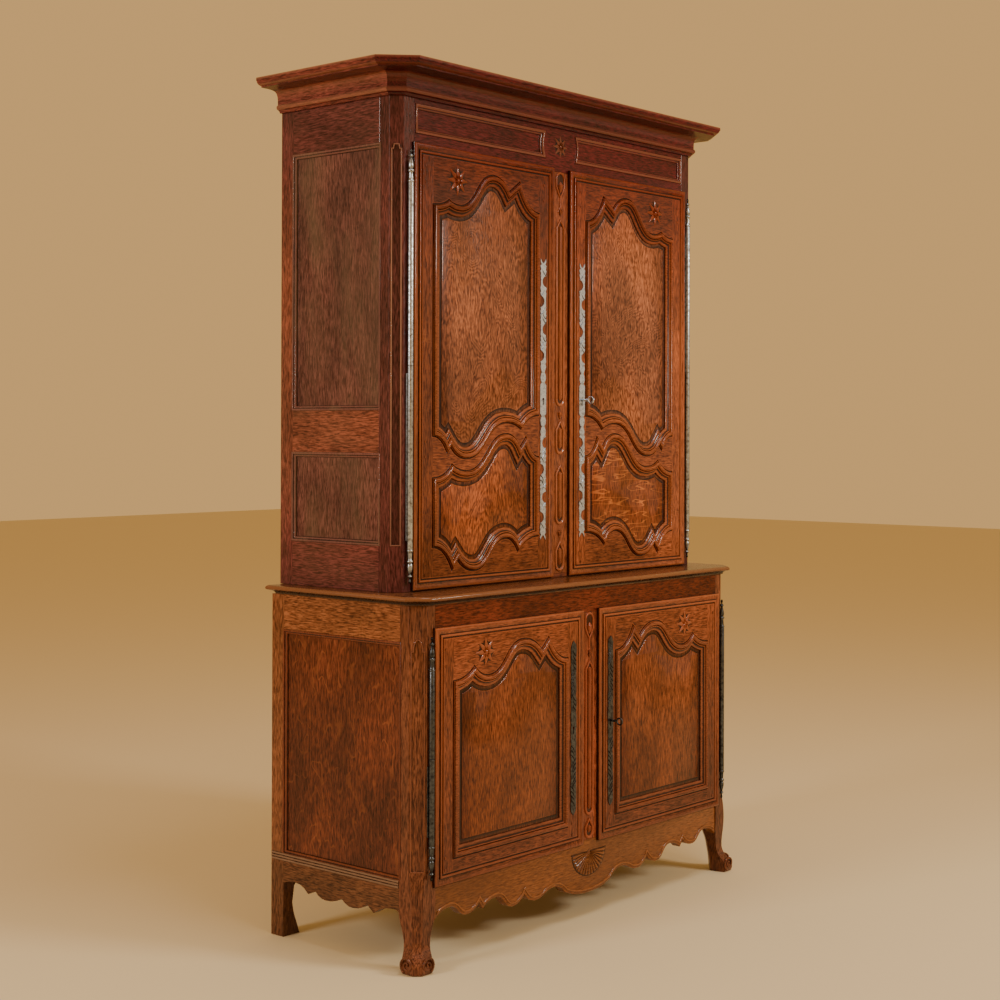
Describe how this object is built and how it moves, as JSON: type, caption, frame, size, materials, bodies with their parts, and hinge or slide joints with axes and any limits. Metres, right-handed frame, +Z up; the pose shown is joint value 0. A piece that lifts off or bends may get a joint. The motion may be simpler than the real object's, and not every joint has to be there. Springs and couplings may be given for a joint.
{
  "type": "housekeepers cupboard",
  "caption": "Tall oak cupboard in stages: moulded panel doors on long barrel hinges, shelves inside, locks with keys, a table ledge, a canted cornice and cabriole front legs.",
  "frame": {"origin": "on the floor, under the middle of the bounding box", "axes": "+X to the right as seen from the front, +Y to the back, +Z up"},
  "size_m": [1.582, 0.6242, 2.4],
  "materials": {
    "dark_iron": "dark wrought iron",
    "dark_oak": "stained and polished oak, dark red-brown",
    "oak": "stained and polished oak",
    "panel_oak": "polished oak, figured",
    "polished_steel": "polished wrought steel",
    "raw_oak": "unfinished oak boards"
  },
  "bodies": {
    "carcass": {"cornice_front": "dark_oak", "cornice_left": "dark_oak", "cornice_right": "dark_oak", "frieze_rail": "dark_oak", "lower_back_board": "raw_oak", "lower_centre_stile": "oak", "lower_floor_board": "raw_oak", "lower_front_apron": "panel_oak", "lower_front_rail": "oak", "lower_left_front_post": "oak", "lower_left_hinge_post_half": "dark_iron", "lower_left_side_frame": "oak", "lower_left_side_panel": "panel_oak", "lower_right_front_post": "oak", "lower_right_hinge_post_half": "dark_iron", "lower_right_side_frame": "oak", "lower_right_side_panel": "panel_oak", "lower_shelf": "raw_oak", "table_top": "oak", "upper_back_board": "raw_oak", "upper_centre_stile": "dark_oak", "upper_floor_board": "raw_oak", "upper_left_front_post": "dark_oak", "upper_left_hinge_post_half": "polished_steel", "upper_left_short_side_panel": "dark_oak", "upper_left_side_frame": "dark_oak", "upper_left_tall_side_panel": "dark_oak", "upper_right_front_post": "dark_oak", "upper_right_hinge_post_half": "polished_steel", "upper_right_short_side_panel": "dark_oak", "upper_right_side_frame": "dark_oak", "upper_right_tall_side_panel": "dark_oak", "upper_shelf_1": "raw_oak", "upper_shelf_2": "raw_oak", "upper_top_board": "raw_oak"},
    "upper_left_door": {"upper_left_door_frame": "oak", "upper_left_door_short_panel": "panel_oak", "upper_left_door_tall_panel": "panel_oak", "upper_left_hinge_door_half": "polished_steel", "upper_left_escutcheon": "polished_steel"},
    "upper_right_door": {"upper_right_door_frame": "oak", "upper_right_door_short_panel": "panel_oak", "upper_right_door_tall_panel": "panel_oak", "upper_right_hinge_door_half": "polished_steel", "upper_right_escutcheon": "polished_steel", "upper_lock_case": "dark_iron"},
    "upper_key": {"upper_key": "polished_steel"},
    "upper_bolt": {"upper_lock_bolt": "polished_steel"},
    "lower_left_door": {"lower_left_door_frame": "oak", "lower_left_door_panel": "panel_oak", "lower_left_hinge_door_half": "dark_iron", "lower_left_escutcheon": "dark_iron"},
    "lower_right_door": {"lower_right_door_frame": "oak", "lower_right_door_panel": "panel_oak", "lower_right_hinge_door_half": "dark_iron", "lower_right_escutcheon": "dark_iron", "lower_lock_case": "dark_iron"},
    "lower_key": {"lower_key": "dark_iron"},
    "lower_bolt": {"lower_lock_bolt": "polished_steel"}
  },
  "joints": [
    {"name": "upper_left_door_hinge", "type": "hinge", "parent": "carcass", "child": "upper_left_door", "pos_m": [-0.649, -0.15095, 0.9943], "axis": [0, 0, -1], "range_deg": [0, 150]},
    {"name": "upper_right_door_hinge", "type": "hinge", "parent": "carcass", "child": "upper_right_door", "pos_m": [0.649, -0.15095, 0.9943], "axis": [0, 0, 1], "range_deg": [0, 150]},
    {"name": "upper_key_turn", "type": "hinge", "parent": "upper_right_door", "child": "upper_key", "pos_m": [0.092, -0.15195, 1.508], "axis": [0, 1, 0], "range_deg": [0, 180]},
    {"name": "upper_bolt_slide", "type": "slide", "parent": "upper_right_door", "child": "upper_bolt", "axis": [-1, 0, 0], "range_m": [0, 0.014]},
    {"name": "lower_left_door_hinge", "type": "hinge", "parent": "carcass", "child": "lower_left_door", "pos_m": [-0.682, -0.26395, 0.2255], "axis": [0, 0, -1], "range_deg": [0, 150]},
    {"name": "lower_right_door_hinge", "type": "hinge", "parent": "carcass", "child": "lower_right_door", "pos_m": [0.682, -0.26395, 0.2255], "axis": [0, 0, 1], "range_deg": [0, 150]},
    {"name": "lower_key_turn", "type": "hinge", "parent": "lower_right_door", "child": "lower_key", "pos_m": [0.088, -0.26495, 0.562], "axis": [0, 1, 0], "range_deg": [0, 180]},
    {"name": "lower_bolt_slide", "type": "slide", "parent": "lower_right_door", "child": "lower_bolt", "axis": [-1, 0, 0], "range_m": [0, 0.014]}
  ],
  "couplings": [
    {"joint": "upper_key_turn", "follows": "upper_bolt_slide", "rad_per_m": 224},
    {"joint": "lower_key_turn", "follows": "lower_bolt_slide", "rad_per_m": 224}
  ]
}
